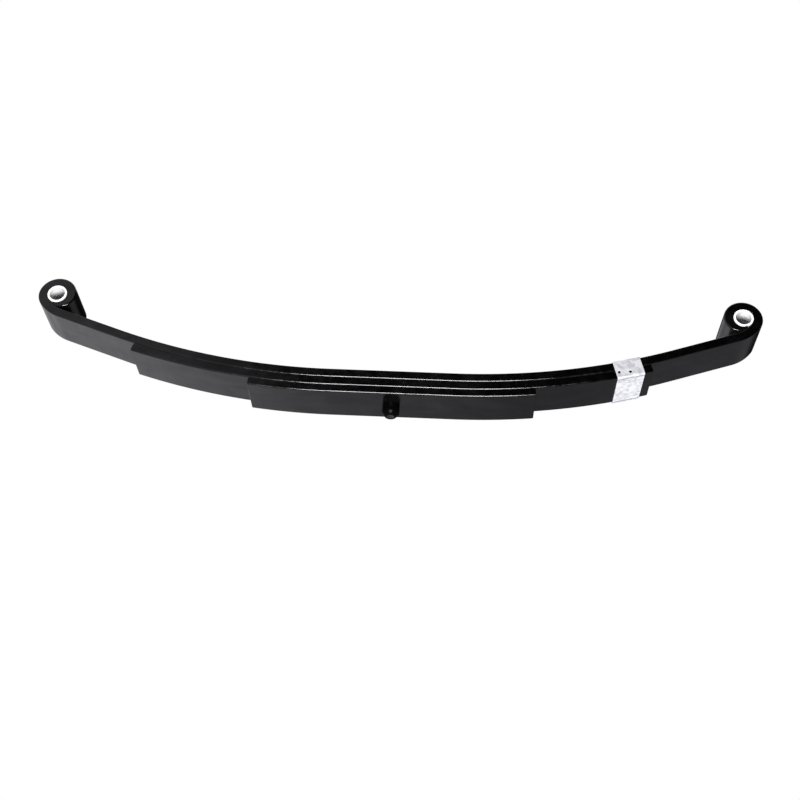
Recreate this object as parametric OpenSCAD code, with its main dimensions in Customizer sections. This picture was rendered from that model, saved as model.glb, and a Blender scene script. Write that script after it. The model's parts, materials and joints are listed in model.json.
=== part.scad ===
// Three-leaf trailer spring with an upturned eye at each end, arched as it is with no load on it.
// X runs along the spring, Y across its width and Z up towards the vehicle frame.
// The origin is on the centre bolt's axis, where the lowest leaf rests on the axle pad.

/* [Overall] */
// Distance between the centres of the two eyes, mm
eye_span = 641.4; // [530:0.1:780]
// Width of every leaf, mm
leaf_w = 44.4; // [35:0.1:56]
// Length of the flat middle that the axle pad clamps, mm
seat_len = 112; // [80:1:150]
// Radius that the main leaf's upper face is bent to on both sides of the flat middle, mm
bend_r = 606; // [480:1:760]
// Straight length between the bend and each eye, mm
tip_len = 61.3; // [30:0.1:90]

/* [Leaves] */
// Thickness of the main leaf, mm
main_t = 8.2; // [6:0.1:10]
// Thickness of the second leaf, mm
second_t = 8.2; // [6:0.1:10]
// Thickness of the third leaf, mm
third_t = 7.4; // [5:0.1:10]
// Length of the second leaf in front of the centre bolt, along the leaf, mm
second_front = 240; // [180:1:260]
// Length of the second leaf behind the centre bolt, mm
second_rear = 234; // [180:1:260]
// Length of the third leaf each way from the centre bolt, mm
third_reach = 128; // [90:1:170]

/* [Eyes and bushes] */
// Bore of the bush, for a 9/16 inch shackle bolt, mm
bush_bore = 14.4; // [12:0.1:20]
// Wall thickness of the bush, mm
bush_wall = 1.9; // [1.5:0.1:4]
// How far the bush stands out of the eye on each side, mm
bush_proud = 0.8; // [0:0.1:3]
// Thickness of the main leaf where it is rolled round the bush, mm
eye_t = 8.8; // [6:0.1:11]
// Distance from the bush to the leaf's upper face below it, mm
eye_lift = 4.4; // [3:0.1:6]
// Radius that the leaf's lower face is bent to where it turns up into the eye, mm
toe_r = 40; // [28:1:60]
// Angle past the top of the eye where its tail begins to thin, degrees
tail_from = 70; // [20:1:85]
// Thickness left on the tail where it tucks in under the bush, mm
tail_t = 2.5; // [1.5:0.1:4]

/* [Centre bolt] */
// Shank diameter of the centre bolt, mm
bolt_d = 9.5; // [8:0.1:13]
// Diameter of the round head that locates the spring on the axle pad, mm
head_d = 15.9; // [13:0.1:20]
// Height of the round head, mm
head_h = 11.7; // [6:0.1:16]
// Diameter that the head tapers to at its end, mm
head_end_d = 10; // [8:0.1:13]
// Height of that taper, mm
head_taper = 3.5; // [1:0.1:5]
// Size across the flats of the nut, mm
nut_af = 14.3; // [12:0.1:20]
// Height of the nut, mm
nut_h = 8.2; // [6:0.1:12]
// Length of the shank that stands out past the nut, mm
past_nut = 1; // [0.5:0.5:12]

/* [Rebound clip] */
// Width of the clip along the spring, mm
clip_w = 25.4; // [16:0.1:32]
// Sheet thickness of the clip, mm
clip_t = 0.8; // [0.6:0.1:3]
// Distance between the clip and the rear end of the second leaf, mm
clip_inset = 8; // [4:0.5:40]
// How far each end of the clip folds in over the main leaf, mm
clip_fold = 9; // [5:0.5:16]

/* [Hidden] */
$fn = 96;
arc_fn = 360;
// Play between parts: bush in its eye, bolt in the leaves, nut on the bolt, clip round the leaves
press = 0.05;
bolt_gap = 0.4;
nut_gap = 0.1;
clip_gap = 0.25;
// Small edges: the chamfers on the bolt's end and the nut, and the clip's inner corners
end_chamfer = 1;
nut_chamfer = 0.6;
clip_corner = 0.6;
// The dimple in the bolt head's end face
dimple_d = 6.4;
dimple_depth = 0.8;
// How far a cut runs past what it cuts
over = 1;
// A straight stretch lies this far inside the faces of the bend, so that the two never half coincide
hair = 0.002;
// Two circles that would touch are moved this much, so that they cross instead
cross = 0.02;
// How far the straight stretch runs on inside the toe
lap = 0.2;

stack_h = main_t + second_t + third_t;
seat_half = seat_len / 2;
bush_od = bush_bore + 2 * bush_wall;
bore_r = bush_od / 2 + press;
eye_r = bore_r + eye_t;
// From the eye's centre down to the leaf's upper face
drop = bore_r + eye_lift;
// The toe's centre, seen from the eye's centre, and the angle that the leaf turns through there
toe_up = toe_r - drop - main_t;
toe_in = sqrt(pow(toe_r - eye_r + cross, 2) - toe_up * toe_up);
toe_a = atan(toe_in / toe_up);
// The tail's outer face: a circle that leaves the eye's at tail_from and passes tail_t below the bush
tail_h = bore_r + tail_t;
tail_off = (eye_r * eye_r - tail_h * tail_h) / (2 * (eye_r + tail_h * cos(tail_from)));
tail_r = eye_r - tail_off + cross;

// Angle of the bend that puts the eyes eye_span apart
bend_x = bend_r - drop;
reach_x = eye_span / 2 - seat_half;
bend_a = asin(reach_x / sqrt(bend_x * bend_x + pow(tip_len + toe_in, 2)))
         - atan((tip_len + toe_in) / bend_x);
bend_len = bend_r * bend_a * PI / 180;
half_len = seat_half + bend_len + tip_len;

// Point on the main leaf's upper face at a length along it from the centre bolt, in the rear half
function face_a(s) = min(max(s - seat_half, 0), bend_len) / bend_r * 180 / PI;
function face_x(s) = min(s, seat_half) + bend_r * sin(face_a(s))
                     + max(s - seat_half - bend_len, 0) * cos(bend_a);
function face_z(s) = stack_h + bend_r * (1 - cos(face_a(s)))
                     + max(s - seat_half - bend_len, 0) * sin(bend_a);

eye_x = face_x(half_len) + toe_in * cos(bend_a) - drop * sin(bend_a);
eye_z = face_z(half_len) + toe_in * sin(bend_a) + drop * cos(bend_a);
clip_s = second_rear - clip_inset - clip_w / 2;

// Side outlines are drawn in X and Z, then given their width across Y.
module across(w) {
    rotate([90, 0, 0])
        linear_extrude(height = w, center = true)
            children();
}

// The centre that the rear bend turns about
module at_bend() {
    translate([seat_half, stack_h + bend_r])
        children();
}

// The same centre, turned so that the leaf beyond the bend runs along X
module past_bend() {
    at_bend()
        rotate(bend_a)
            children();
}

// The bent stretch of a leaf in the rear half, out to a length s from the centre bolt
module bent_band(depth, t, s) {
    far = bend_r + depth + t + over;
    at_bend()
        intersection() {
            difference() {
                circle(r = bend_r + depth + t, $fn = arc_fn);
                circle(r = bend_r + depth, $fn = arc_fn);
            }
            translate([0, -far]) square(far);
            rotate(face_a(s)) translate([-far, -far]) square(far);
        }
}

// The straight stretch beyond the bend
module straight_band(depth, t, s) {
    run = s - seat_half - bend_len;
    if (run > 0)
        past_bend()
            translate([0, -bend_r - depth - t + hair])
                square([run, t - 2 * hair]);
}

// A leaf whose upper face lies the given depth below the main leaf's
module leaf_outline(depth, t, front, rear) {
    translate([-seat_half, stack_h - depth - t])
        square([seat_len, t]);
    bent_band(depth, t, rear);
    straight_band(depth, t, rear);
    mirror([1, 0]) {
        bent_band(depth, t, front);
        straight_band(depth, t, front);
    }
}

// Everything to the left of the centre, as far as an eye reaches
module left_half() {
    translate([-2 * eye_r, -2 * eye_r])
        square([2 * eye_r, 4 * eye_r]);
}

// The curl of an eye round its bush, with its centre at the origin and the leaf's end below it,
// running in from the left. Its tail thins out along a circle of its own.
module curl() {
    difference() {
        circle(r = eye_r);
        difference() {
            intersection() {
                left_half();
                rotate(tail_from) left_half();
            }
            rotate(tail_from) translate([0, tail_off]) circle(r = tail_r);
        }
    }
}

// The toe, where the leaf turns up until it meets the curl
module toe() {
    far = toe_r + over;
    translate([-toe_in, toe_up])
        intersection() {
            difference() {
                circle(r = toe_r);
                circle(r = toe_r - main_t);
            }
            translate([0, -far]) square(far);
            rotate(toe_a) translate([-far, -far]) square(far);
        }
}

module eye_place() {
    past_bend()
        translate([tip_len + toe_in, drop - bend_r])
            children();
}

module bolt_hole() {
    translate([0, 0, -over])
        cylinder(d = bolt_d + 2 * bolt_gap, h = stack_h + 2 * over);
}

// One eye on the end of the leaf
module eye() {
    eye_place() {
        curl();
        toe();
    }
}

module main_leaf() {
    color([0.035, 0.036, 0.04])
        difference() {
            across(leaf_w)
                difference() {
                    union() {
                        leaf_outline(0, main_t, half_len + lap, half_len + lap);
                        eye();
                        mirror([1, 0]) eye();
                    }
                    eye_place() circle(r = bore_r);
                    mirror([1, 0]) eye_place() circle(r = bore_r);
                }
            bolt_hole();
        }
}

module second_leaf() {
    color([0.045, 0.046, 0.05])
        difference() {
            across(leaf_w)
                leaf_outline(main_t, second_t, second_front, second_rear);
            bolt_hole();
        }
}

module third_leaf() {
    color([0.055, 0.056, 0.06])
        difference() {
            across(leaf_w)
                leaf_outline(main_t + second_t, third_t, third_reach, third_reach);
            bolt_hole();
        }
}

module bush() {
    color([0.92, 0.92, 0.9])
        across(leaf_w + 2 * bush_proud)
            difference() {
                circle(d = bush_od);
                circle(d = bush_bore);
            }
}

module front_bush() {
    translate([-eye_x, 0, eye_z]) bush();
}

module rear_bush() {
    translate([eye_x, 0, eye_z]) bush();
}

// Round head below, shank through all three leaves and past the nut
module centre_bolt() {
    shank = stack_h + nut_h + past_nut;
    color([0.05, 0.05, 0.055])
        difference() {
            union() {
                translate([0, 0, -head_h + head_taper])
                    cylinder(d = head_d, h = head_h - head_taper);
                translate([0, 0, -head_h])
                    cylinder(d1 = head_end_d, d2 = head_d, h = head_taper);
                cylinder(d = bolt_d, h = shank);
                translate([0, 0, shank])
                    cylinder(d1 = bolt_d, d2 = bolt_d - 2 * end_chamfer, h = end_chamfer);
            }
            translate([0, 0, -head_h - over])
                cylinder(d1 = dimple_d + over, d2 = dimple_d / 2, h = dimple_depth + over);
        }
}

module centre_nut() {
    corner_d = nut_af / cos(30);
    color([0.05, 0.05, 0.055])
        translate([0, 0, stack_h])
            difference() {
                intersection() {
                    cylinder(d = corner_d, h = nut_h, $fn = 6);
                    cylinder(d1 = corner_d + 2 * nut_h, d2 = nut_af, h = nut_h + nut_chamfer);
                }
                translate([0, 0, -over])
                    cylinder(d = bolt_d + 2 * nut_gap, h = nut_h + 2 * over);
            }
}

// A rectangle with round corners, centred across and standing on its base line
module round_box(w, h, r) {
    translate([-w / 2 + r, 0]) square([w - 2 * r, h]);
    translate([-w / 2, r]) square([w, h - 2 * r]);
    for (x = [-w / 2 + r, w / 2 - r], y = [r, h - r])
        translate([x, y]) circle(r = r);
}

// Sheet strap under the two long leaves, up both sides and folded in over the main leaf
module rebound_clip() {
    inner_w = leaf_w + 2 * clip_gap;
    inner_h = main_t + second_t + 2 * clip_gap;
    color([0.78, 0.78, 0.8])
        translate([face_x(clip_s), 0, face_z(clip_s)])
            rotate([0, -face_a(clip_s), 0])
                translate([-clip_w / 2, 0, -main_t - second_t - clip_gap])
                    rotate([90, 0, 90])
                        linear_extrude(height = clip_w)
                            difference() {
                                translate([0, -clip_t])
                                    round_box(inner_w + 2 * clip_t, inner_h + 2 * clip_t,
                                              clip_t + clip_corner);
                                round_box(inner_w, inner_h, clip_corner);
                                translate([-inner_w / 2 + clip_fold, inner_h - over])
                                    square([inner_w - 2 * clip_fold, clip_t + 2 * over]);
                            }
}

main_leaf();
second_leaf();
third_leaf();
front_bush();
rear_bush();
centre_bolt();
centre_nut();
rebound_clip();
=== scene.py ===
"""Looks of a three-leaf trailer spring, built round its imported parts.

Everything is in metres and in the part's own frame: X runs along the spring towards the end with
the clip, Y across it and Z up, with the origin on the centre bolt's axis under the lowest leaf.
A length along a leaf, called s, is measured from that axis over the main leaf's upper face.
"""

import json
import math
from types import SimpleNamespace

import bmesh
import bpy
from bpy.props import FloatProperty, FloatVectorProperty, PointerProperty
from mathutils import Matrix, Vector, noise


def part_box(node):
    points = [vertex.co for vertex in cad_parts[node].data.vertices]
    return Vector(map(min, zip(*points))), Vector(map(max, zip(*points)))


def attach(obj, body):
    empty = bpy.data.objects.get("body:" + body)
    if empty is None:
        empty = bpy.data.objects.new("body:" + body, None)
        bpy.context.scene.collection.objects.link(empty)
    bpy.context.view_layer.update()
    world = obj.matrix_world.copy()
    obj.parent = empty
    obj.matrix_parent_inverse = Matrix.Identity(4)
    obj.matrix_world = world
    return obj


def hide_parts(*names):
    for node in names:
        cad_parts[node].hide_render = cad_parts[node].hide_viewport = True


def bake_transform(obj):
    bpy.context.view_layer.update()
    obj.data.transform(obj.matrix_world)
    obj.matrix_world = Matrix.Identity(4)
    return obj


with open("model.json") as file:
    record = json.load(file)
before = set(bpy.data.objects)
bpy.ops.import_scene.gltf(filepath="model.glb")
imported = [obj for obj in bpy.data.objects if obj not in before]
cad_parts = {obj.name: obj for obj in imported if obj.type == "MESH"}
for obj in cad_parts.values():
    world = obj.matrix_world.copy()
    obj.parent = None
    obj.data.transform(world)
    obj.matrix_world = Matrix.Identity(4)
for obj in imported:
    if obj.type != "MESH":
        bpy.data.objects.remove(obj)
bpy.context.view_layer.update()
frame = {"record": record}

bl_info = {
    "name": "Trailer leaf spring",
    "version": (1, 0, 0),
    "blender": (4, 5, 0),
    "location": "3D View > Sidebar > Leaf spring",
    "description": "Builds a painted three-leaf spring with bushed eyes, centre bolt and clip",
    "category": "Add Mesh",
}

MM = 0.001
CREASE = 32  # degrees between two faces, past which the edge between them is drawn sharp
MAIN_LOW, MAIN_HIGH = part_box("main_leaf")
MOUNTS = {mount["name"]: mount for mount in frame["record"]["mounts"]}
EYE_X, _, EYE_Z = MOUNTS["rear_eye"]["pos_m"]
BORE_R = MOUNTS["rear_eye"]["dims"]["r_mm"] * MM
BUSH_LENGTH = MOUNTS["rear_eye"]["dims"]["length_mm"] * MM


# ---------------------------------------------------------------- sizes and colours


def length(name, description, default, low=0.0):
    """A distance in metres that a user may change."""
    return FloatProperty(name=name, description=description, default=default, min=low,
                         subtype="DISTANCE", unit="LENGTH", precision=4)


def share(name, description, default):
    """A number from 0 to 1."""
    return FloatProperty(name=name, description=description, default=default, min=0, max=1,
                         subtype="FACTOR")


def colour(name, description, default):
    """A linear RGB colour."""
    return FloatVectorProperty(name=name, description=description, default=default, size=3,
                               min=0, max=1, subtype="COLOR")


def angle(name, description, degrees):
    """An angle, given in degrees here and kept in radians."""
    return FloatProperty(name=name, description=description, default=math.radians(degrees),
                         subtype="ANGLE", unit="ROTATION")


class LeafSizes(bpy.types.PropertyGroup):
    """Sizes of the three leaves."""

    width: length("Width", "Width of every leaf", MAIN_HIGH.y - MAIN_LOW.y)
    main_thick: length("Main leaf", "Thickness of the main leaf", 8.2 * MM)
    second_thick: length("Second leaf", "Thickness of the second leaf", 8.2 * MM)
    third_thick: length("Third leaf", "Thickness of the third leaf", 7.4 * MM)
    seat: length("Seat", "Length of the flat middle", 112 * MM)
    bend: length("Bend", "Radius of the main leaf's upper face beyond the seat", 606 * MM)
    tip: length("Tip", "Straight length between the bend and the eye", 61.3 * MM)
    second_front: length("Second, front", "Reach of the second leaf to the front", 240 * MM)
    second_rear: length("Second, rear", "Reach of the second leaf to the rear", 234 * MM)
    third_reach: length("Third", "Reach of the third leaf each way", 128 * MM)
    low_edge: length("Lower edges", "Radius of a leaf's two lower edges", 1.3 * MM)
    high_edge: length("Upper edges", "Radius of a leaf's two upper edges", 0.6 * MM)
    cut_edge: length("Cut edges", "Bevel round a leaf's sheared end", 0.5 * MM)


class EyeSizes(bpy.types.PropertyGroup):
    """Sizes of the rolled eyes and their bushes."""

    thick: length("Thickness", "Thickness of the leaf where it is rolled round", 8.8 * MM)
    lift: length("Lift", "Gap between the bush and the leaf that runs in below it", 4.4 * MM)
    toe: length("Toe", "Radius of the leaf's lower face where it turns up into the eye", 40 * MM)
    press: length("Press", "Play drawn between the bush and its eye", 0.05 * MM)
    bush_wall: length("Bush wall", "Wall thickness of the bush", 1.9 * MM)
    tail: length("Tail", "Thickness of the eye's tail straight below the bush", 2.5 * MM)
    tail_from: angle("Tail from", "Angle past the eye's top where its tail begins to thin", 70)
    tail_end: angle("Tail end", "How far the curl runs, counted from its outermost point", 272)
    seam: length("Seam", "Gap between the tail and the toe", 0.15 * MM)
    bush_edge: length("Bush edge", "Rounding of the bush's outer rims", 0.6 * MM)
    mouth: length("Mouth", "Countersink at each mouth of the bush", 0.2 * MM)
    nick: length("Nick", "Depth of the nick in the rear bush's near rim", 1.3 * MM)


class BoltSizes(bpy.types.PropertyGroup):
    """Sizes of the centre bolt and its nut."""

    shank: length("Shank", "Diameter of the shank", 9.5 * MM)
    head: length("Head", "Diameter of the round head", 15.9 * MM)
    head_high: length("Head height", "Height of the round head", 11.7 * MM)
    head_end: length("Head end", "Diameter that the head tapers to", 10 * MM)
    taper: length("Taper", "Height of that taper", 3.5 * MM)
    dimple: length("Dimple", "Diameter of the dimple in the head's end face", 6.4 * MM)
    dimple_deep: length("Dimple depth", "Depth of the dimple", 0.8 * MM)
    nut_flats: length("Nut flats", "Size across the flats of the nut", 14.3 * MM)
    nut_high: length("Nut height", "Height of the nut", 8.2 * MM)
    past_nut: length("Past nut", "Length of thread above the nut", 2 * MM)
    pitch: length("Pitch", "Pitch of the thread", 1.59 * MM)
    thread: length("Thread", "Depth of the thread", 0.8 * MM)


class ClipSizes(bpy.types.PropertyGroup):
    """Sizes of the sheet-metal rebound clip."""

    width: length("Width", "Width along the spring", 25.4 * MM)
    sheet: length("Sheet", "Thickness of the sheet", 0.8 * MM)
    inset: length("Inset", "Distance from the rear end of the second leaf", 8 * MM)
    fold: length("Fold", "Length folded in over the main leaf from each side", 9 * MM)
    play: length("Play", "Gap between the clip and the leaves", 0.25 * MM)
    bend: length("Bend", "Radius of the sheet's middle at the folds", 1.0 * MM)
    wave: length("Wave", "Height of the ripples in the sheet", 0.08 * MM)


class Finishes(bpy.types.PropertyGroup):
    """Colours and gloss of the four finishes."""

    paint: colour("Paint", "Black dip paint on the leaves", (0.0006, 0.0006, 0.0007))
    paint_thin: colour("Thin paint", "Where the paint lies thinner", (0.002, 0.002, 0.0022))
    paint_rough: share("Paint roughness", "Roughness of the dip paint", 0.17)
    bolt: colour("Bolt paint", "Black paint on the bolt and nut", (0.0012, 0.0012, 0.0014))
    bolt_rubbed: colour("Rubbed bolt", "Where the bolt's paint is rubbed", (0.012, 0.012, 0.013))
    nylon: colour("Nylon", "Moulded nylon of the bushes", (0.94, 0.94, 0.94))
    # The next two colours are painted shade for the inside of the bore: a grey, and a darker grey
    # that mottles it at random.
    painted_bore_shade: colour("Nylon bore", "Duller nylon inside the bore", (0.5, 0.5, 0.5))
    darker_bore_shade_and_dirt: colour("Nylon dirt", "Handling marks on the nylon", (0.3, 0.3, 0.3))
    zinc: colour("Zinc", "Bright parts of the galvanised sheet", (0.7, 0.7, 0.72))
    zinc_dull: colour("Dull zinc", "Dull parts of the galvanised sheet", (0.46, 0.46, 0.51))
    # A darker band laid on the sheet beside each fold.
    zinc_fold_band: colour("Crease", "Marks beside the folds of the sheet", (0.14, 0.14, 0.15))
    floor: colour("Floor", "Pale studio floor", (0.8, 0.8, 0.8))


class StageSizes(bpy.types.PropertyGroup):
    """Where the floor and the camera are."""

    floor_drop: length("Floor drop", "How far the floor lies below the axle seat", 1.15)
    floor_size: length("Floor size", "Side of the square floor", 30.0)
    view_x: length("View X", "The camera's place along the spring", 0.06286, low=-10)
    view_y: length("View Y", "The camera's place across the spring", -1.05308, low=-10)
    view_z: length("View Z", "The camera's height", -0.5984, low=-10)
    turn: angle("Turn", "How far the camera is turned to the left", 2.992)
    tilt: angle("Tilt", "How far the camera looks up", 29.833)
    roll: angle("Roll", "How far the camera leans", 3.70)
    lens: FloatProperty(name="Lens", description="Focal length on a 36 mm sensor",
                        default=59.84, min=10, unit="CAMERA")


# ---------------------------------------------------------------- lines of the spring


def pack_line(leaf, eye):
    """The derived sizes that every leaf shares: the stack, the bend's angle and the eyes."""
    bore = BORE_R + eye.bush_wall + eye.press
    outer = bore + eye.thick
    drop = bore + eye.lift
    toe_up = eye.toe - drop - leaf.main_thick
    toe_in = math.sqrt((eye.toe - outer)**2 - toe_up**2)
    reach = EYE_X - leaf.seat / 2
    hub = leaf.bend - drop
    last = leaf.tip + toe_in
    bend = math.asin(reach / math.hypot(hub, last)) - math.atan(last / hub)
    low = bore + eye.tail
    tail_off = (outer**2 - low**2) / (2 * (outer + low * math.cos(eye.tail_from)))
    return SimpleNamespace(
        top=leaf.main_thick + leaf.second_thick + leaf.third_thick,
        bend=bend, bend_length=leaf.bend * bend, radius=leaf.bend, seat=leaf.seat / 2,
        whole=leaf.seat / 2 + leaf.bend * bend + leaf.tip,
        bore=bore, outer=outer, toe=eye.toe, toe_inner=eye.toe - leaf.main_thick,
        thicker=eye.thick - leaf.main_thick,
        toe_centre=Vector((-toe_in, toe_up)), toe_turn=math.atan2(toe_in, toe_up),
        tail_off=tail_off, tail_from=eye.tail_from, seam=eye.seam)


def upper_face(line, s):
    """Place and slope of the main leaf's upper face at length s in the rear half."""
    slope = min(max(s - line.seat, 0), line.bend_length) / line.radius
    past = max(s - line.seat - line.bend_length, 0)
    x = min(s, line.seat) + line.radius * math.sin(slope) + past * math.cos(slope)
    z = line.top + line.radius * (1 - math.cos(slope)) + past * math.sin(slope)
    return Vector((x, z)), slope


def band(line, s, depth, thick):
    """Upper and lower points in XZ of a leaf that lies depth under the main leaf's upper face."""
    place, slope = upper_face(line, s)
    down = Vector((math.sin(slope), -math.cos(slope)))
    return place + down * depth, place + down * (depth + thick)


def steps(first, last, size):
    """Evenly spaced numbers from first to last, about size apart."""
    count = max(1, math.ceil(abs(last - first) / size))
    return [first + (last - first) * i / count for i in range(count + 1)]


def leaf_stations(line, reach, depth, thick, size=4 * MM):
    """Pairs of upper and lower points from the centre bolt to a leaf's end."""
    stops = [0, line.seat, line.seat + line.bend_length, reach]
    stops = [s for s in stops if s < reach] + [reach]
    places = [0.0]
    for low, high in zip(stops, stops[1:]):
        places += steps(low, high, size)[1:]
    return [band(line, s, depth, thick) for s in places]


def polar(radius, turn, centre=(0, 0)):
    """A point at an angle round a centre."""
    return Vector((centre[0] + radius * math.cos(turn), centre[1] + radius * math.sin(turn)))


def circle_reach(radius, centre, turn):
    """Distance from the origin to a circle round it, in the direction of an angle."""
    along = centre.dot(polar(1, turn))
    return along + math.sqrt(along**2 - centre.length_squared + radius**2)


def curl_outer(line, turn):
    """Radius of the curl's outer face at an angle round the bush. Its tail thins out and tucks
    in between the bush and the toe."""
    start = math.pi / 2 + line.tail_from
    if turn < start:
        return line.outer
    tail = circle_reach(line.outer - line.tail_off, polar(line.tail_off, start), turn)
    if turn < math.pi:
        return tail
    return min(tail, circle_reach(line.toe_inner, line.toe_centre, turn) - line.seam)


def curl_stations(line, tail_end):
    """Inner and outer points of the rolled eye, in the eye's own frame, from the toe to the
    tip of the tail. The leaf runs in from the left below the bush."""
    pairs = []
    start, toe_step, curl_step = -math.pi / 2, math.radians(3), math.radians(4)
    for turn in steps(start, start + line.toe_turn, toe_step):
        inner = line.toe_inner - line.thicker * (turn - start) / line.toe_turn
        pairs.append((polar(inner, turn, line.toe_centre),
                      polar(line.toe, turn, line.toe_centre)))
    for turn in steps(start + line.toe_turn, tail_end, curl_step)[1:]:
        pairs.append((polar(line.bore, turn), polar(curl_outer(line, turn), turn)))
    return pairs[1:]


def from_eye(line, point):
    """A point of the rear eye's own frame, in XZ."""
    turn = Matrix.Rotation(line.bend, 2)
    return turn @ point + Vector((EYE_X, EYE_Z))


# ---------------------------------------------------------------- mesh makers


def keep_sharp(mesh, limit):
    """Smooth shading with creases where two faces meet at more than limit degrees."""
    for edge in mesh.edges:
        soft = edge.is_manifold and edge.calc_face_angle(0) < math.radians(limit)
        edge.smooth = edge.is_boundary or soft
    for face in mesh.faces:
        face.smooth = True


def to_object(name, mesh, crease=CREASE):
    """A new object in the scene, whose points also keep their places at rest for its finish."""
    bmesh.ops.recalc_face_normals(mesh, faces=mesh.faces)
    keep_sharp(mesh, crease)
    data = bpy.data.meshes.new(name)
    mesh.to_mesh(data)
    mesh.free()
    rest = data.attributes.new("rest_place", "FLOAT_VECTOR", "POINT")
    for point, vertex in zip(rest.data, data.vertices):
        point.vector = vertex.co
    piece = bpy.data.objects.new(name, data)
    bpy.context.scene.collection.objects.link(piece)
    return piece


def edge_loop(width, thick, low_edge, high_edge, parts=4):
    """Points (across, up) round a leaf's section, with its four long edges rounded. A guard
    point close to each end of a rounding keeps the shading of the flats flat."""
    largest = 0.45 * thick
    guard = 0.04 * thick
    low, high = min(low_edge, largest), min(high_edge, largest)
    corners = [(-1, 0, low, 180), (1, 0, low, 270), (1, 1, high, 0), (-1, 1, high, 90)]
    loop = []
    for side, upper, radius, start in corners:
        centre = (side * (width / 2 - radius), thick - radius if upper else radius)
        arc = [polar(radius, math.radians(turn), centre)
               for turn in steps(start, start + 90, 90 / parts)]
        before = polar(guard, math.radians(start - 90))
        after = polar(guard, math.radians(start + 180))
        loop += [arc[0] + before, *arc, arc[-1] + after]
    return loop


def ring_of(mesh, pair, loop, side):
    """One ring of a leaf's points between a pair of upper and lower points."""
    upper, lower = pair
    up = (upper - lower).normalized()
    ring = []
    for across, height in loop:
        place = lower + up * height
        ring.append(mesh.verts.new((side * place.x, across, place.y)))
    return ring


def join_rings(mesh, rings, closed=True):
    """Faces between each ring of points and the next."""
    for first, second in zip(rings, rings[1:]):
        count = len(first)
        for i in range(count if closed else count - 1):
            k = (i + 1) % count
            mesh.faces.new((first[i], first[k], second[k], second[i]))


def leaf_half(name, leaf, pairs, side):
    """Half of a leaf, from the middle of the spring to its end. side is 1 to the rear and -1 to
    the front. The middle stays open, because the other half meets it there."""
    mesh = bmesh.new()
    rings = []
    for pair in pairs:
        thick = (pair[0] - pair[1]).length
        loop = edge_loop(leaf.width, thick, leaf.low_edge, leaf.high_edge)
        rings.append(ring_of(mesh, pair, loop, side))
    bevel_end(mesh, rings, leaf.cut_edge)
    join_rings(mesh, rings)
    mesh.faces.new(rings[-1])
    return to_object(name, mesh)


def bevel_end(mesh, rings, bevel):
    """Draws the last ring in by the bevel and adds a full ring just before it."""
    last, before = rings[-1], rings[-2]
    middle = sum((v.co for v in last), Vector()) / len(last)
    run = (last[0].co - before[0].co).length
    share_left = min(1, bevel / run)
    extra = [mesh.verts.new(a.co.lerp(b.co, 1 - share_left)) for a, b in zip(before, last)]
    rings.insert(-1, extra)
    for vertex in last:
        towards = middle - vertex.co
        flat = Vector((0, towards.y, 0))
        rise = towards - flat
        if flat.length > bevel:
            vertex.co += flat.normalized() * bevel
        if rise.length > bevel:
            vertex.co += rise.normalized() * bevel


def turned(name, profile, radius_at, centre, axis, count=96, closed=True, crease=CREASE):
    """A turned piece. profile holds (radius, height) pairs, and radius_at may change a radius by
    its height and its angle. An open profile starts and ends with a small flat on the axis."""
    mesh = bmesh.new()
    rings = []
    for radius, height in profile:
        ring = []
        for i in range(count):
            turn = 2 * math.pi * i / count
            r = radius_at(radius, height, turn)
            ring.append(mesh.verts.new((r * math.cos(turn), r * math.sin(turn), height)))
        rings.append(ring)
    join_rings(mesh, rings + rings[:1] if closed else rings)
    if not closed:
        mesh.faces.new(rings[0])
        mesh.faces.new(rings[-1])
    turn = Vector((0, 0, 1)).rotation_difference(Vector(axis)).to_matrix().to_4x4()
    mesh.transform(Matrix.Translation(centre) @ turn)
    return to_object(name, mesh, crease)


def rounded(profile, radius, parts=3):
    """A closed line of (radius, height) corners, each cut back and rounded. A cut takes less
    than half of either side."""
    line = []
    count = len(profile)
    for i, corner in enumerate(profile):
        before, after = Vector(profile[i - 1]), Vector(profile[(i + 1) % count])
        corner = Vector(corner)
        side = min((before - corner).length, (after - corner).length)
        cut = min(radius, side / 2.1)
        first = corner + (before - corner).normalized() * cut
        last = corner + (after - corner).normalized() * cut
        for k in range(parts + 1):
            w = k / parts
            line.append(first * (1 - w) ** 2 + corner * 2 * w * (1 - w) + last * w**2)
    return line


# ---------------------------------------------------------------- finishes


def new_finish(name):
    """An empty material with its shader, and the tree to add nodes to."""
    finish = bpy.data.materials.new(name)
    finish.use_nodes = True
    tree = finish.node_tree
    return finish, tree, tree.nodes["Principled BSDF"]


def add(tree, kind, inputs=None, **settings):
    """A node with its settings and inputs. An input is a value or another node's output."""
    node = tree.nodes.new(kind)
    for key, value in settings.items():
        setattr(node, key, value)
    for key, value in (inputs or {}).items():
        if isinstance(value, bpy.types.NodeSocket):
            tree.links.new(value, node.inputs[key])
        else:
            node.inputs[key].default_value = value
    return node


def maths(tree, operation, first, second=0.0):
    """A sum on one or two values, such as their product or the larger of them."""
    return add(tree, "ShaderNodeMath", {0: first, 1: second}, operation=operation).outputs[0]


def wire(tree, shader, outputs):
    """Links inputs of the shader, by name, to outputs of other nodes."""
    for name, output in outputs.items():
        tree.links.new(output, shader.inputs[name])


def rest_place(tree):
    """Each point's place at rest, so that a finish stays put when the leaves flex."""
    return add(tree, "ShaderNodeAttribute", attribute_name="rest_place").outputs["Vector"]


def stretched(tree, place, scale):
    """The places scaled by a different amount along each axis."""
    return add(tree, "ShaderNodeMapping", {"Vector": place, "Scale": scale}).outputs["Vector"]


def cloud(tree, place, scale, detail=3.0, rough=0.5, warp=0.0):
    """A noise pattern between 0 and 1, with scale blotches to the metre."""
    node = add(tree, "ShaderNodeTexNoise", {
        "Vector": place, "Scale": scale, "Detail": detail, "Roughness": rough,
        "Distortion": warp})
    return node.outputs["Fac"]


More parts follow.
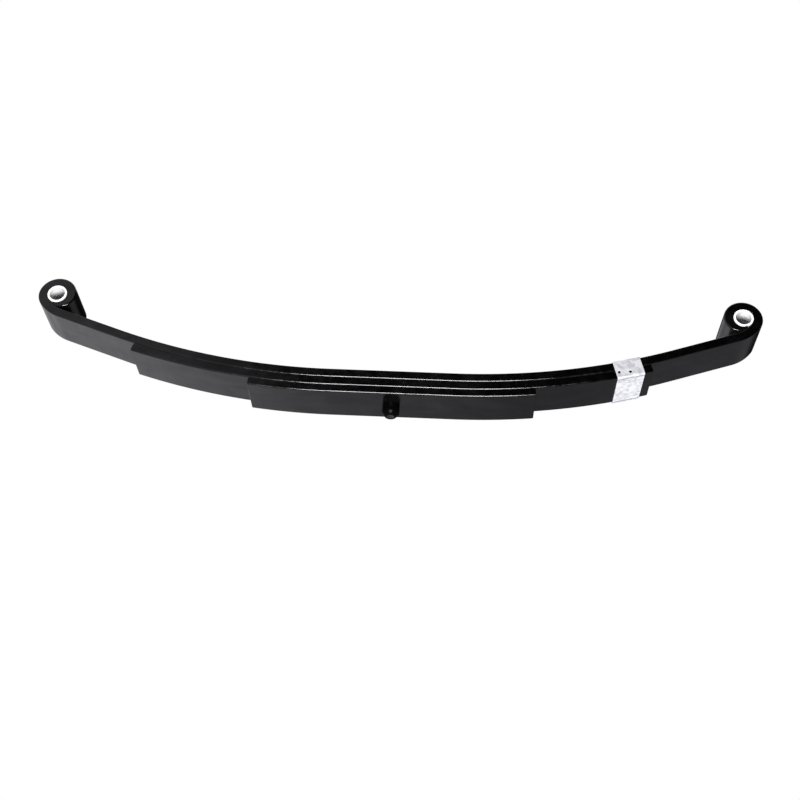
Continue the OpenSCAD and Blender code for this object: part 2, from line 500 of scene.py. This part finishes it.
def spread(tree, value, low, high, to_low=0.0, to_high=1.0):
    """The value carried from one range to another and held inside it."""
    node = add(tree, "ShaderNodeMapRange", {
        "Value": value, "From Min": low, "From Max": high, "To Min": to_low,
        "To Max": to_high}, interpolation_type="SMOOTHSTEP")
    return node.outputs["Result"]


def blend_colours(tree, factor, first, second):
    """A mix of two colours. The node's colour sockets share their names with others, so they
    are found by number."""
    first_in, second_in, mixed_out = 6, 7, 2
    node = add(tree, "ShaderNodeMix", {"Factor": factor}, data_type="RGBA")
    for number, value in ((first_in, first), (second_in, second)):
        socket = node.inputs[number]
        if isinstance(value, bpy.types.NodeSocket):
            tree.links.new(value, socket)
        else:
            socket.default_value = (*value, 1)
    return node.outputs[mixed_out]


def bumps(tree, heights):
    """Bump nodes one after another, from (height, strength, distance) each."""
    normal = None
    for height, strength, distance in heights:
        inputs = {"Height": height, "Strength": strength, "Distance": distance}
        if normal:
            inputs["Normal"] = normal
        normal = add(tree, "ShaderNodeBump", inputs).outputs["Normal"]
    return normal


def dip_paint(looks):
    """Black dip paint: a thin gloss coat over rolled steel, with runs, nibs and orange peel."""
    finish, tree, shader = new_finish("dip_paint")
    place = rest_place(tree)
    broad = cloud(tree, place, 38, detail=1, rough=0.4)
    peel = cloud(tree, place, 950, detail=2)
    runs = cloud(tree, stretched(tree, place, (1, 0.12, 1)), 160, rough=0.6, warp=0.4)
    nibs = add(tree, "ShaderNodeTexVoronoi", {"Vector": place, "Scale": 210.0}).outputs
    nib = spread(tree, nibs["Distance"], 0.16, 0.05)
    some = spread(tree, cloud(tree, place, 24, detail=2), 0.56, 0.62)
    raised = maths(tree, "MULTIPLY", nib, some)
    thin = spread(tree, broad, 0.48, 0.72)
    smoothest, roughest = looks.paint_rough - 0.06, looks.paint_rough + 0.08
    dust = cloud(tree, stretched(tree, place, (0.45, 1, 1)), 75, detail=6, rough=0.62, warp=0.5)
    wire(tree, shader, {
        "Base Color": blend_colours(tree, thin, looks.paint, looks.paint_thin),
        "Roughness": spread(tree, runs, 0.3, 0.7, smoothest, roughest),
        "Specular IOR Level": spread(tree, dust, 0.3, 0.72, 0.42, 0.6),
        "Normal": bumps(tree, [(broad, 0.1, 0.0012), (runs, 0.03, 0.0005),
                               (peel, 0.05, 0.00006), (raised, 0.5, 0.00025)])})
    shader.inputs["IOR"].default_value = 1.5
    return finish


def bolt_black(looks):
    """Thin black paint over a forged and threaded bolt, rubbed in spots and in the dimple."""
    finish, tree, shader = new_finish("bolt_black")
    bolt = bpy.context.scene.spring_bolt
    dimple_r, soft = bolt.dimple / 2, 0.3 * MM
    dimple_top = bolt.dimple_deep + soft - bolt.head_high
    place = rest_place(tree)
    forged = cloud(tree, place, 320, detail=4, rough=0.6)
    grain = cloud(tree, place, 1400, detail=2)
    worn = spread(tree, cloud(tree, place, 700, rough=0.7), 0.62, 0.74)
    axes = add(tree, "ShaderNodeSeparateXYZ", {"Vector": place}).outputs
    flat = add(tree, "ShaderNodeCombineXYZ", {"X": axes["X"], "Y": axes["Y"]}).outputs[0]
    off = add(tree, "ShaderNodeVectorMath", {0: flat}, operation="LENGTH").outputs["Value"]
    inside = spread(tree, off, dimple_r + soft, dimple_r - soft)
    low = spread(tree, axes["Z"], dimple_top + 2 * soft, dimple_top)
    rubbed = maths(tree, "MAXIMUM", maths(tree, "MULTIPLY", inside, low), worn)
    wire(tree, shader, {
        "Base Color": blend_colours(tree, rubbed, looks.bolt, looks.bolt_rubbed),
        "Roughness": spread(tree, forged, 0.3, 0.7, 0.16, 0.24),
        "Specular IOR Level": spread(tree, rubbed, 0, 1, 0.02, 0.3),
        "Normal": bumps(tree, [(forged, 0.4, 0.0003), (grain, 0.3, 0.00005)])})
    return finish


def moulded_nylon(looks):
    """White moulded nylon with faint flow marks, and painted shade on the bore's walls: a grey
    mottled at random with a darker grey.
    """
    finish, tree, shader = new_finish("moulded_nylon")
    place = rest_place(tree)
    flow = cloud(tree, stretched(tree, place, (1, 0.25, 1)), 420, detail=4, rough=0.6, warp=0.6)
    grain = cloud(tree, place, 2400, detail=2)
    dirt = spread(tree, cloud(tree, place, 260, detail=5, rough=0.68), 0.52, 0.78)
    facing = add(tree, "ShaderNodeSeparateXYZ", {
        "Vector": add(tree, "ShaderNodeNewGeometry").outputs["Normal"]}).outputs["Y"]
    # The faces that don't face along the bush's axis, the bore's walls, get painted shade: a grey
    # mottled at random with a darker grey.
    wall = spread(tree, maths(tree, "MULTIPLY", facing, facing), 0.5, 0.15)
    inside = blend_colours(tree, dirt, looks.painted_bore_shade, looks.darker_bore_shade_and_dirt)
    wire(tree, shader, {
        "Base Color": blend_colours(tree, wall, looks.nylon, inside),
        "Roughness": spread(tree, flow, 0.3, 0.7, 0.36, 0.52),
        "Normal": bumps(tree, [(flow, 0.25, 0.0003), (grain, 0.15, 0.00004)])})
    shader.inputs["Subsurface Weight"].default_value = 0.08
    shader.inputs["Subsurface Scale"].default_value = 0.001
    return finish


def galvanised_sheet(looks):
    """Bright galvanised sheet: soft spangle, rolling lines and a darker band beside each fold."""
    finish, tree, shader = new_finish("galvanised_sheet")
    fold_band_in, fold_band_out, soft = 19.4 * MM, 20.8 * MM, 0.5 * MM
    place = rest_place(tree)
    spangle = add(tree, "ShaderNodeTexVoronoi", {"Vector": place, "Scale": 330.0}).outputs
    flake = add(tree, "ShaderNodeSeparateColor", {"Color": spangle["Color"]}).outputs[0]
    rolled = cloud(tree, stretched(tree, place, (1, 0.06, 0.06)), 900, rough=0.6)
    mottle = cloud(tree, place, 190, detail=4, rough=0.65)
    mixed = spread(tree, maths(tree, "MULTIPLY", flake, mottle), 0.05, 0.6)
    sheet = blend_colours(tree, mixed, looks.zinc, looks.zinc_dull)
    across = add(tree, "ShaderNodeSeparateXYZ", {"Vector": place}).outputs["Y"]
    off = maths(tree, "ABSOLUTE", across)
    rising = spread(tree, off, fold_band_in, fold_band_in + soft)
    falling = spread(tree, off, fold_band_out, fold_band_out - soft)
    # crease here is a darker band 19.4 to 20.8 mm either side of the sheet's middle, beside each
    # fold.
    crease = maths(tree, "MULTIPLY", rising, falling)
    wire(tree, shader, {
        "Base Color": blend_colours(tree, crease, sheet, looks.zinc_fold_band),
        "Roughness": spread(tree, mottle, 0.3, 0.7, 0.28, 0.42),
        "Normal": bumps(tree, [(mottle, 0.16, 0.0004), (rolled, 0.1, 0.00008),
                               (flake, 0.02, 0.00005)])})
    shader.inputs["Metallic"].default_value = 0.35
    return finish


def studio_floor(looks):
    """Plain pale floor with the faintest unevenness."""
    finish, tree, shader = new_finish("studio_floor")
    place = add(tree, "ShaderNodeTexCoord").outputs["Object"]
    worn = spread(tree, cloud(tree, place, 3), 0.2, 0.8)
    paler = tuple(min(1, part * 1.04) for part in looks.floor)
    wire(tree, shader, {"Base Color": blend_colours(tree, worn, looks.floor, paler)})
    shader.inputs["Roughness"].default_value = 0.8
    return finish


def finish_of(name, make):
    """The finish of that name, made the first time that it is asked for."""
    return bpy.data.materials.get(name) or make(bpy.context.scene.spring_finishes)


def dress(piece, finish, slot, *nodes):
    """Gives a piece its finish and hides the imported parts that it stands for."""
    piece.data.materials.clear()
    piece.data.materials.append(finish)
    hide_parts(*nodes)
    return piece


# ---------------------------------------------------------------- the pieces


def flex(piece):
    """Bakes half a leaf's placing into its points."""
    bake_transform(piece)


def build_main_leaf(context):
    """Both halves of the main leaf, each with its rolled eye."""
    scene = context.scene
    leaf, eye = scene.spring_leaves, scene.spring_eyes
    line = pack_line(leaf, eye)
    pairs = leaf_stations(line, line.whole, 0, leaf.main_thick)
    for inner, outer in curl_stations(line, eye.tail_end):
        pairs.append((from_eye(line, inner), from_eye(line, outer)))
    for name, side in (("leaf_main_front", -1), ("leaf_main_rear", 1)):
        piece = leaf_half(name, leaf, pairs, side)
        dress(piece, finish_of("dip_paint", dip_paint), "leaf_paint", "main_leaf")
        flex(piece)


def build_lower_leaves(context):
    """Both halves of the second and third leaves."""
    scene = context.scene
    leaf = scene.spring_leaves
    line = pack_line(leaf, scene.spring_eyes)
    under = leaf.main_thick + leaf.second_thick
    halves = [
        ("leaf_second_front", "second_leaf", -1, leaf.second_front, leaf.main_thick,
         leaf.second_thick),
        ("leaf_second_rear", "second_leaf", 1, leaf.second_rear, leaf.main_thick,
         leaf.second_thick),
        ("leaf_third_front", "third_leaf", -1, leaf.third_reach, under, leaf.third_thick),
        ("leaf_third_rear", "third_leaf", 1, leaf.third_reach, under, leaf.third_thick),
    ]
    for name, node, side, reach, depth, thick in halves:
        piece = leaf_half(name, leaf, leaf_stations(line, reach, depth, thick), side)
        dress(piece, finish_of("dip_paint", dip_paint), "leaf_paint", node)
        flex(piece)


def bush_profile(eye):
    """Section of a bush as (radius, height) corners, rounded outside and countersunk inside."""
    half, outer = BUSH_LENGTH / 2, BORE_R + eye.bush_wall
    corners = [(BORE_R, -half + eye.mouth), (BORE_R + eye.mouth, -half), (outer, -half),
               (outer, half), (BORE_R + eye.mouth, half), (BORE_R, half - eye.mouth)]
    return rounded(corners, eye.bush_edge / 2)


def plain(radius, height, turn):
    """Leaves a turned piece's radius as its profile has it."""
    return radius


def nicked(eye):
    """Changes a bush's radius where its near rim is nicked, low down towards the rear."""
    middle, spread_over = math.radians(-74), math.radians(9)
    start = BUSH_LENGTH / 2 - 1.2 * MM

    def radius_at(radius, height, turn):
        off = math.remainder(turn - middle, 2 * math.pi)
        bite = math.exp(-((off / spread_over) ** 2)) if height > start else 0
        return radius - bite * eye.nick * (radius > BORE_R + eye.bush_wall / 2)

    return radius_at


def build_bushes(context):
    """The moulded bush in each eye."""
    eye = context.scene.spring_eyes
    for name, side, arm, shape in (("bush_front", -1, "front_arm", plain),
                                   ("bush_rear", 1, "rear_arm", nicked(eye))):
        piece = turned(name, bush_profile(eye), shape, (side * EYE_X, 0, EYE_Z), (0, -1, 0))
        node = "rear_bush" if side > 0 else "front_bush"
        dress(piece, finish_of("moulded_nylon", moulded_nylon), "bush_plastic", node)
        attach(piece, arm)


def bolt_profile(bolt, top):
    """The centre bolt from its dimpled head up to the end of its thread. The head's edges are
    broken by about a rim, and a guard ring beside each keeps the long faces evenly shaded."""
    head, end_r, shank = bolt.head / 2, bolt.head_end / 2, bolt.shank / 2
    rim, guard, lead_in = 0.2 * MM, 0.5 * MM, 1.2 * MM
    low = -bolt.head_high
    floor, shoulder = low + bolt.dimple_deep, low + bolt.taper
    line = [(rim, floor), (bolt.dimple / 4, floor), (bolt.dimple / 2, low), (end_r - rim, low),
            (end_r + rim / 2, low + 0.75 * rim), (head - rim, shoulder - 1.25 * rim),
            (head, shoulder + rim / 2), (head, shoulder + guard), (head, -guard),
            (head - rim, 0), (shank, 0)]
    thread_low, end = top + bolt.nut_high - 1 * MM, top + bolt.nut_high + bolt.past_nut
    for height in steps(thread_low, end, bolt.pitch / 10):
        line.append((min(shank, shank - lead_in + (end - height)), height))
    line.append((rim, end))
    return line


def build_centre_bolt(context):
    """The centre bolt with its thread, and the nut."""
    scene = context.scene
    bolt = scene.spring_bolt
    top = pack_line(scene.spring_leaves, scene.spring_eyes).top

    root_flat = 1.15

    def threaded(radius, height, turn):
        if height < top or radius < bolt.shank / 4:
            return radius
        across = (height / bolt.pitch - turn / (2 * math.pi)) % 1
        return radius - bolt.thread * min(1, abs(2 * across - 1) * root_flat)

    piece = turned("bolt_centre", bolt_profile(bolt, top), threaded, (0, 0, 0), (0, 0, 1),
                   count=72, closed=False)
    dress(piece, finish_of("bolt_black", bolt_black), "bolt_paint", "centre_bolt")
    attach(piece, "centre")
    build_nut(bolt, top)


def build_nut(bolt, top):
    """The hexagon nut, chamfered above and below, with a countersunk thread."""
    inner, outer = bolt.shank / 2 - bolt.thread * 0.6, bolt.nut_flats / math.sqrt(3)
    sink, chamfer, edge_up, face_in = 1 * MM, 0.9 * MM, 0.15 * MM, 0.3 * MM
    high = bolt.nut_high
    line = [(inner, sink), (inner + sink, 0), (outer - chamfer, 0)]
    line += [(outer, h) for h in steps(edge_up, high - edge_up, 0.35 * MM)]
    line += [(outer - chamfer, high), (inner + sink, high), (inner, high - sink)]

    def hexagon(radius, height, turn):
        if radius < bolt.shank / 2 + sink:
            return radius
        off = math.remainder(turn, math.pi / 3)
        flat = bolt.nut_flats / 2 / math.cos(off)
        edge = min(height, high - height)
        return min(flat, radius, bolt.nut_flats / 2 - face_in + edge * 2)

    piece = turned("nut_centre", line, hexagon, (0, 0, top), (0, 0, 1), count=120, crease=24)
    dress(piece, finish_of("bolt_black", bolt_black), "bolt_paint", "centre_nut")
    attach(piece, "centre")


def clip_path(leaf, clip):
    """The middle of the clip's sheet as (across, up) points: in from the near fold, down the
    near side, under the leaves and up to the far fold."""
    half = leaf.width / 2 + clip.play + clip.sheet / 2
    high = clip.play + clip.sheet / 2
    low = -leaf.main_thick - leaf.second_thick - clip.play - clip.sheet / 2
    tip = half - clip.sheet / 2 - clip.fold
    corners = [(-half, high, 90), (-half, low, 180), (half, low, 270), (half, high, 0)]
    path = [Vector((-tip, high))]
    for across, up, start in corners:
        centre = (across - math.copysign(clip.bend, across), up - math.copysign(clip.bend, up))
        for turn in steps(start, start + 90, 22.5):
            path.append(polar(clip.bend, math.radians(turn), centre))
    path.append(Vector((tip, high)))
    return path


def even_path(path, size):
    """The same path with more points on its long straight runs."""
    line = [path[0]]
    for first, last in zip(path, path[1:]):
        line += [first.lerp(last, w) for w in steps(0, 1, size / (last - first).length)[1:]]
    return line


def punched(point, along, leaf, clip):
    """True on the near side where a stake has been punched through the sheet."""
    hole_r = 1.4 * MM
    spots = [(3 * MM, 5.9 * MM), (12.9 * MM, 4.3 * MM)]
    past_edge = along + clip.width / 2
    height = point.y + leaf.main_thick + leaf.second_thick + clip.play
    on_side = point.x < -leaf.width / 2
    return on_side and any(math.hypot(past_edge - x, height - up) < hole_r for x, up in spots)


def build_clip(context):
    """The sheet strap round the two long leaves, rippled a little and staked twice."""
    scene = context.scene
    leaf, clip = scene.spring_leaves, scene.spring_clip
    line = pack_line(leaf, scene.spring_eyes)
    mesh_size, ripples_to_metre, wrapped_middle = 0.6 * MM, 130, -line.top / 3
    path = even_path(clip_path(leaf, clip), mesh_size)
    columns = steps(-clip.width / 2, clip.width / 2, mesh_size)
    mesh = bmesh.new()
    rings = []
    for point in path:
        out = Vector((0, point.x, point.y - wrapped_middle)).normalized()
        ring = []
        for x in columns:
            place = Vector((x, point.x, point.y))
            ripple = noise.noise(place * ripples_to_metre) * clip.wave
            ring.append(mesh.verts.new(place + out * ripple))
        rings.append(ring)
    for point, first, second in zip(path, rings, rings[1:]):
        for i, x in enumerate(columns[:-1]):
            if not punched(point, x + mesh_size / 2, leaf, clip):
                mesh.faces.new((first[i], first[i + 1], second[i + 1], second[i]))
    loose = [v for v in mesh.verts if not v.link_faces]
    bmesh.ops.delete(mesh, geom=loose, context="VERTS")
    middle = leaf.second_rear - clip.inset - clip.width / 2
    place, slope = upper_face(line, middle)
    mesh.transform(Matrix.Translation((place.x, 0, place.y)) @ Matrix.Rotation(-slope, 4, "Y"))
    piece = to_object("clip_rebound", mesh)
    sheet = piece.modifiers.new("Sheet", "SOLIDIFY")
    sheet.thickness = clip.sheet
    sheet.offset = 0
    burr = piece.modifiers.new("Burr", "BEVEL")
    burr.width = 0.18 * MM
    burr.segments = 2
    burr.angle_limit = math.radians(50)
    dress(piece, finish_of("galvanised_sheet", galvanised_sheet), "clip_steel",
          "rebound_clip")
    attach(piece, "rear_arm")


# ---------------------------------------------------------------- the stage


def build_floor(stage):
    """A plain pale floor well below the spring, which shows in no reflection."""
    mesh = bmesh.new()
    bmesh.ops.create_grid(mesh, x_segments=8, y_segments=8, size=stage.floor_size / 2)
    data = bpy.data.meshes.new("floor")
    mesh.to_mesh(data)
    mesh.free()
    floor = bpy.data.objects.new("floor", data)
    floor.location.z = -stage.floor_drop
    bpy.context.scene.collection.objects.link(floor)
    floor.data.materials.append(finish_of("studio_floor", studio_floor))
    floor.visible_glossy = False


def light_panel(name, place, size, power):
    """A soft rectangular light that faces the spring's middle."""
    aim = Vector((0, 0, 0.05))
    lamp = bpy.data.lights.new(name, "AREA")
    lamp.shape = "RECTANGLE"
    lamp.size, lamp.size_y = size
    lamp.energy = power
    light = bpy.data.objects.new(name, lamp)
    light.location = place
    light.rotation_mode = "QUATERNION"
    light.rotation_quaternion = (aim - Vector(place)).to_track_quat("-Z", "Y")
    light.visible_camera = False
    bpy.context.scene.collection.objects.link(light)


def build_world():
    """A white backdrop, and for the light a room that is dark in front and paler to the left,
    behind and above. Each part of the room's glow grows between two values of a direction's X,
    Y or Z, from its first level to its last."""
    world = bpy.data.worlds.new("studio")
    bpy.context.scene.world = world
    world.use_nodes = True
    tree = world.node_tree
    tree.nodes.clear()
    way = add(tree, "ShaderNodeTexCoord").outputs["Generated"]
    axes = add(tree, "ShaderNodeSeparateXYZ", {"Vector": way}).outputs
    behind = spread(tree, axes["Y"], -0.2, 0.7)
    left = spread(tree, axes["X"], 0.15, -0.6, 0.24, 0.95)
    low = spread(tree, axes["Z"], -0.05, 0.25, 1, 0.06)
    back_left = maths(tree, "MULTIPLY", maths(tree, "MULTIPLY", behind, left), low)
    above = spread(tree, axes["Z"], 0.6, 0.95, 0, 0.7)
    front_left = spread(tree, axes["X"], -0.12, -0.24, 0, 0.56)
    level = maths(tree, "MAXIMUM", back_left, maths(tree, "MAXIMUM", above, front_left))
    room = add(tree, "ShaderNodeBackground", {"Color": (0.95, 0.94, 1, 1), "Strength": level})
    backdrop = add(tree, "ShaderNodeBackground", {"Color": (1, 1, 1, 1), "Strength": 1.0})
    seen = add(tree, "ShaderNodeLightPath").outputs["Is Camera Ray"]
    both = add(tree, "ShaderNodeMixShader", {0: seen, 1: room.outputs[0],
                                             2: backdrop.outputs[0]})
    add(tree, "ShaderNodeOutputWorld", {"Surface": both.outputs[0]})


def build_camera(stage):
    """The camera, below the spring and looking up at it."""
    data = bpy.data.cameras.new("camera")
    data.lens = stage.lens
    data.sensor_width = 36
    data.clip_start, data.clip_end = 0.01, 100
    camera = bpy.data.objects.new("camera", data)
    turn = Matrix.Rotation(stage.turn, 4, "Z")
    tilt = Matrix.Rotation(math.pi / 2 + stage.tilt, 4, "X")
    lean = Matrix.Rotation(stage.roll, 4, "Z")
    place = Matrix.Translation((stage.view_x, stage.view_y, stage.view_z))
    camera.matrix_world = place @ turn @ tilt @ lean
    bpy.context.scene.collection.objects.link(camera)
    bpy.context.scene.camera = camera


def build_stage(context):
    """Floor, lights, backdrop and camera."""
    scene = context.scene
    stage = scene.spring_stage
    build_floor(stage)
    build_world()
    light_panel("light_below", place=(0.02, -0.72, -0.9), size=(0.6, 0.42), power=36)
    light_panel("light_above", place=(0.3, 0.4, 1.6), size=(1.6, 1.0), power=10)
    build_camera(stage)
    scene.view_settings.view_transform = "Standard"


# ---------------------------------------------------------------- operators and panel


class SPRING_OT_main_leaf(bpy.types.Operator):
    """Build the main leaf with an eye rolled at each end"""

    bl_idname = "spring.main_leaf"
    bl_label = "Main leaf"
    bl_options = {"REGISTER", "UNDO"}

    def execute(self, context):
        build_main_leaf(context)
        return {"FINISHED"}


class SPRING_OT_lower_leaves(bpy.types.Operator):
    """Build the second and third leaves"""

    bl_idname = "spring.lower_leaves"
    bl_label = "Lower leaves"
    bl_options = {"REGISTER", "UNDO"}

    def execute(self, context):
        build_lower_leaves(context)
        return {"FINISHED"}


class SPRING_OT_bushes(bpy.types.Operator):
    """Build the bush in each eye"""

    bl_idname = "spring.bushes"
    bl_label = "Bushes"
    bl_options = {"REGISTER", "UNDO"}

    def execute(self, context):
        build_bushes(context)
        return {"FINISHED"}


class SPRING_OT_centre_bolt(bpy.types.Operator):
    """Build the centre bolt and its nut"""

    bl_idname = "spring.centre_bolt"
    bl_label = "Centre bolt and nut"
    bl_options = {"REGISTER", "UNDO"}

    def execute(self, context):
        build_centre_bolt(context)
        return {"FINISHED"}


class SPRING_OT_clip(bpy.types.Operator):
    """Build the rebound clip"""

    bl_idname = "spring.clip"
    bl_label = "Rebound clip"
    bl_options = {"REGISTER", "UNDO"}

    def execute(self, context):
        build_clip(context)
        return {"FINISHED"}


class SPRING_OT_stage(bpy.types.Operator):
    """Build the floor, the lights, the backdrop and the camera"""

    bl_idname = "spring.stage"
    bl_label = "Stage"
    bl_options = {"REGISTER", "UNDO"}

    def execute(self, context):
        build_stage(context)
        return {"FINISHED"}


class SPRING_PT_panel(bpy.types.Panel):
    """Sidebar panel with the sizes, the finishes and a button for each piece."""

    bl_idname = "SPRING_PT_panel"
    bl_label = "Leaf spring"
    bl_space_type = "VIEW_3D"
    bl_region_type = "UI"
    bl_category = "Leaf spring"

    def draw(self, context):
        layout = self.layout
        for name in GROUPS:
            group = getattr(context.scene, name)
            box = layout.box()
            box.label(text=group.bl_rna.description)
            for key in group.bl_rna.properties.keys():
                if key not in ("rna_type", "name"):
                    box.prop(group, key)
        for maker in MAKERS:
            layout.operator(maker.bl_idname)


GROUPS = {
    "spring_leaves": LeafSizes,
    "spring_eyes": EyeSizes,
    "spring_bolt": BoltSizes,
    "spring_clip": ClipSizes,
    "spring_finishes": Finishes,
    "spring_stage": StageSizes,
}
MAKERS = (SPRING_OT_main_leaf, SPRING_OT_lower_leaves, SPRING_OT_bushes,
          SPRING_OT_centre_bolt, SPRING_OT_clip, SPRING_OT_stage)


def register():
    """Registers the sizes, the operators and the panel."""
    for name, group in GROUPS.items():
        bpy.utils.register_class(group)
        setattr(bpy.types.Scene, name, PointerProperty(type=group))
    for maker in MAKERS:
        bpy.utils.register_class(maker)
    bpy.utils.register_class(SPRING_PT_panel)


def unregister():
    """Takes them all out again."""
    bpy.utils.unregister_class(SPRING_PT_panel)
    for maker in reversed(MAKERS):
        bpy.utils.unregister_class(maker)
    for name, group in reversed(GROUPS.items()):
        delattr(bpy.types.Scene, name)
        bpy.utils.unregister_class(group)


def main():
    """Builds the spring and its stage."""
    register()
    bpy.ops.spring.main_leaf()
    bpy.ops.spring.lower_leaves()
    bpy.ops.spring.bushes()
    bpy.ops.spring.centre_bolt()
    bpy.ops.spring.clip()
    bpy.ops.spring.stage()


if __name__ == "__main__":
    main()
